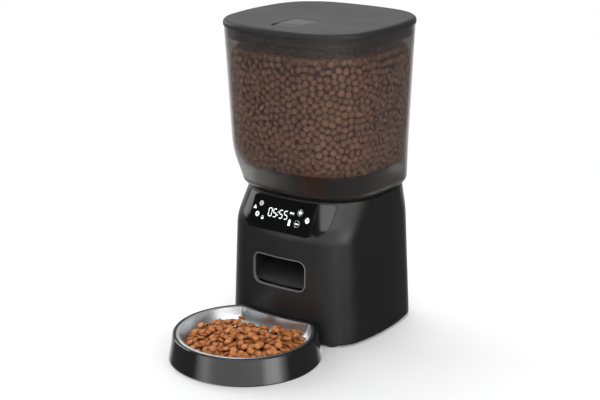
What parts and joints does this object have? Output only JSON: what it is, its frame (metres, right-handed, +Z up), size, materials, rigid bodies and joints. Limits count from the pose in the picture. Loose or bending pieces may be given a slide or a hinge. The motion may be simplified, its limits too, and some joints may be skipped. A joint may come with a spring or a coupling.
{
  "type": "automatic pet feeder",
  "caption": "Free-standing timed pet feeder: smoky tank with a lift-off lid over a tapered base with a clock panel, dosing rotor, chute, round tray and steel bowl.",
  "frame": {"origin": "bottom centre of the box round the whole object, on the floor", "axes": "+Z up, the clock panel and the bowl face -Y, the back with the power inlet faces +Y"},
  "size_m": [0.1978, 0.3296, 0.3635],
  "materials": {
    "satin_black": "satin",
    "contact_metal": "plain",
    "soft_rubber": "matt",
    "screw_steel": "plain",
    "inner_plastic": "matt",
    "bearing_plastic": "satin",
    "silicone": "matt",
    "motor_metal": "satin",
    "trim_grey": "satin",
    "panel_gloss": "gloss",
    "circuit_board": "satin",
    "smoky_clear": "clear gloss",
    "lid_grey": "satin",
    "tray_gloss": "gloss",
    "bowl_steel": "polished"
  },
  "bodies": {
    "base": {"base_shell": "satin_black", "bottom_plate": "satin_black", "battery_bay": "satin_black", "battery_contacts": "contact_metal", "rubber_feet": "soft_rubber", "bottom_screws": "screw_steel", "dispenser_well": "inner_plastic", "well_screws": "screw_steel", "rotor_bush": "bearing_plastic", "gear_plate": "inner_plastic", "gear_screws": "screw_steel", "gear_motor": "motor_metal", "motor_screws": "screw_steel", "chute": "inner_plastic", "chute_trim": "trim_grey", "display_bezel": "panel_gloss", "display_glass": "panel_gloss", "display_board": "circuit_board", "display_module": "inner_plastic", "display_screws": "screw_steel", "main_board": "circuit_board", "board_screws": "screw_steel", "power_jack": "inner_plastic", "well_gasket": "silicone"},
    "rotor": {"rotor": "inner_plastic", "rotor_blades": "silicone", "rotor_shaft": "screw_steel", "drive_gear": "bearing_plastic"},
    "pinion": {"motor_pinion": "bearing_plastic", "motor_shaft": "screw_steel"},
    "tank": {"tank_shell": "smoky_clear", "hopper_funnel": "inner_plastic", "outlet_guard": "inner_plastic"},
    "lid": {"lid_cover": "lid_grey", "lid_liner": "inner_plastic", "lid_seal": "silicone", "lid_screws": "screw_steel", "latch_pin": "screw_steel", "latch_spring": "screw_steel", "desiccant_box": "inner_plastic"},
    "latch": {"latch_lever": "lid_grey"},
    "desiccant": {"desiccant_cover": "inner_plastic"},
    "tray": {"feeding_tray": "tray_gloss"},
    "bowl": {"steel_bowl": "bowl_steel"},
    "door": {"battery_door": "satin_black"}
  },
  "joints": [
    {"name": "rotor_spin", "type": "hinge", "parent": "base", "child": "rotor", "pos_m": [0, 0.0784, 0.13], "axis": [0, 0, 1], "continuous": true},
    {"name": "pinion_spin", "type": "hinge", "parent": "base", "child": "pinion", "pos_m": [0, 0.1074, 0.114], "axis": [0, 0, 1], "continuous": true},
    {"name": "tank_lift", "type": "slide", "parent": "base", "child": "tank", "axis": [0, 0, 1], "range_m": [0, 0.12]},
    {"name": "lid_lift", "type": "slide", "parent": "tank", "child": "lid", "axis": [0, 0, 1], "range_m": [0, 0.1]},
    {"name": "latch_press", "type": "hinge", "parent": "lid", "child": "latch", "pos_m": [0, 0.0094, 0.3555], "axis": [1, 0, 0], "range_deg": [0, 5], "stiffness_Nm_per_rad": 0.3, "deforming": ["latch_spring"]},
    {"name": "desiccant_twist", "type": "hinge", "parent": "lid", "child": "desiccant", "pos_m": [0, 0.0944, 0.344], "axis": [0, 0, 1], "range_deg": [0, 30]},
    {"name": "tray_pull", "type": "slide", "parent": "base", "child": "tray", "axis": [0, -1, 0], "range_m": [0, 0.08]},
    {"name": "bowl_lift", "type": "slide", "parent": "tray", "child": "bowl", "axis": [0, 0, 1], "range_m": [0, 0.06]},
    {"name": "door_slide", "type": "slide", "parent": "base", "child": "door", "axis": [0, 1, 0], "range_m": [0, 0.0104]}
  ],
  "couplings": [
    {"joint": "pinion_spin", "follows": "rotor_spin", "ratio": -2.2222}
  ]
}
